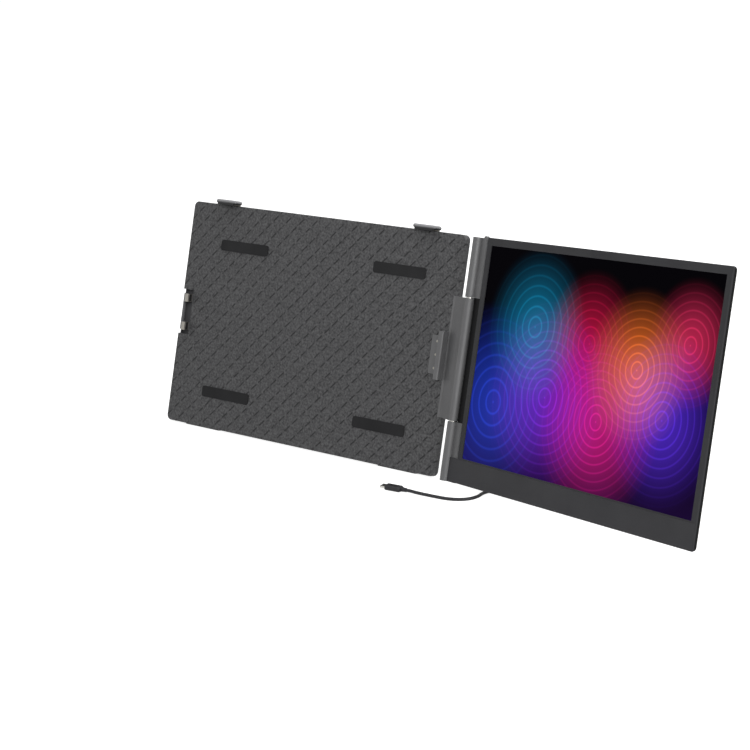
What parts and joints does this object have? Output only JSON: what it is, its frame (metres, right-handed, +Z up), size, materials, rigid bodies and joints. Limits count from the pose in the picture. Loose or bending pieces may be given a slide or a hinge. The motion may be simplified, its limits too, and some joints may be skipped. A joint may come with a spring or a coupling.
{
  "type": "laptop screen extender",
  "caption": "Portable second display on a friction hinge, joined to a flat frame that clamps behind a laptop's lid with sprung claws, with a kickstand and a short USB-C lead",
  "frame": {"origin": "on the frame's front face, half way up it and behind the middle of the laptop's lid", "axes": "+X to the user's right along the frame, +Y away from the user, +Z up; the frame leans back by 18.35 degrees"},
  "size_m": [0.7664, 0.2141, 0.2805],
  "materials": {
    "frame_plastic": "moulded, with a fine slanted grain",
    "cover_plastic": "moulded, matt",
    "black_screws": "blacked steel",
    "rubber": "silicone",
    "hook_metal": "satin coat",
    "slide_aluminium": "satin",
    "spring_steel": "bright",
    "hinge_metal": "satin grey coat",
    "bronze": "plain",
    "bezel_plastic": "matt grey",
    "chin_plastic": "matt dark grey",
    "screen_glass": "anti-glare, lit from behind",
    "tray_plastic": "moulded",
    "shell_plastic": "matt black",
    "circuit_board": "solder mask",
    "socket_steel": "nickel plated",
    "button_plastic": "satin",
    "plug_plastic": "overmoulded",
    "cable_jacket": "matt jacket"
  },
  "bodies": {
    "frame": {"front_plate": "frame_plastic", "back_cover": "cover_plastic", "cover_screws": "black_screws", "lid_pads": "rubber", "bottom_pads": "rubber", "hook_right": "hook_metal", "hook_right_pad": "rubber", "hook_rivets": "slide_aluminium", "claw_left_spring": "spring_steel", "claw_top_left_spring": "spring_steel", "claw_top_right_spring": "spring_steel", "hinge_arm": "hinge_metal", "hinge_arm_screws": "black_screws", "stand_pins": "spring_steel"},
    "claw_left": {"claw_left_slide": "slide_aluminium", "claw_left_hook": "hook_metal", "claw_left_pad": "rubber"},
    "claw_top_left": {"claw_top_left_slide": "slide_aluminium", "claw_top_left_hook": "hook_metal", "claw_top_left_pad": "rubber"},
    "claw_top_right": {"claw_top_right_slide": "slide_aluminium", "claw_top_right_hook": "hook_metal", "claw_top_right_pad": "rubber"},
    "kickstand": {"stand_panel": "cover_plastic", "stand_foot": "rubber"},
    "display": {"hinge_leaf": "hinge_metal", "hinge_pins": "spring_steel", "friction_washers": "bronze", "barrel_caps": "hinge_metal", "leaf_screws": "black_screws", "display_bezel": "bezel_plastic", "chin_cover": "chin_plastic", "screen_panel": "screen_glass", "panel_tray": "tray_plastic", "back_shell": "shell_plastic", "shell_screws": "black_screws", "driver_board": "circuit_board", "usb_c_sockets": "socket_steel", "mini_hdmi_socket": "socket_steel", "plug_display": "plug_plastic", "plug_laptop": "plug_plastic", "plug_shells": "socket_steel", "cord": "cable_jacket"},
    "power": {"power_button": "button_plastic"},
    "plus": {"plus_button": "button_plastic"},
    "minus": {"minus_button": "button_plastic"}
  },
  "joints": [
    {"name": "display_hinge", "type": "hinge", "parent": "frame", "child": "display", "pos_m": [0.2119, -0.00965, 0.00267], "axis": [0, 0.3148, 0.9492], "range_deg": [-161.85, 73.15]},
    {"name": "left_claw_slide", "type": "slide", "parent": "frame", "child": "claw_left", "axis": [-1, 0, 0], "range_m": [0, 0.02], "stiffness_N_per_m": 150, "springref_m": -0.02, "deforming": ["claw_left_spring"]},
    {"name": "top_left_claw_slide", "type": "slide", "parent": "frame", "child": "claw_top_left", "axis": [0, 0.3148, 0.9492], "range_m": [0, 0.02], "stiffness_N_per_m": 150, "springref_m": -0.02, "deforming": ["claw_top_left_spring"]},
    {"name": "top_right_claw_slide", "type": "slide", "parent": "frame", "child": "claw_top_right", "axis": [0, 0.3148, 0.9492], "range_m": [0, 0.02], "stiffness_N_per_m": 150, "springref_m": -0.02, "deforming": ["claw_top_right_spring"]},
    {"name": "kickstand_hinge", "type": "hinge", "parent": "frame", "child": "kickstand", "pos_m": [0, 0.01854, 0.03494], "axis": [1, 0, 0], "range_deg": [-30.6, 25]},
    {"name": "power_press", "type": "slide", "parent": "display", "child": "power", "axis": [-0.3115, -0.9019, 0.2992], "range_m": [0, 0.0005], "stiffness_N_per_m": 20, "springref_m": -0.002},
    {"name": "plus_press", "type": "slide", "parent": "display", "child": "plus", "axis": [-0.3115, -0.9019, 0.2992], "range_m": [0, 0.0005], "stiffness_N_per_m": 20, "springref_m": -0.002},
    {"name": "minus_press", "type": "slide", "parent": "display", "child": "minus", "axis": [-0.3115, -0.9019, 0.2992], "range_m": [0, 0.0005], "stiffness_N_per_m": 20, "springref_m": -0.002}
  ]
}
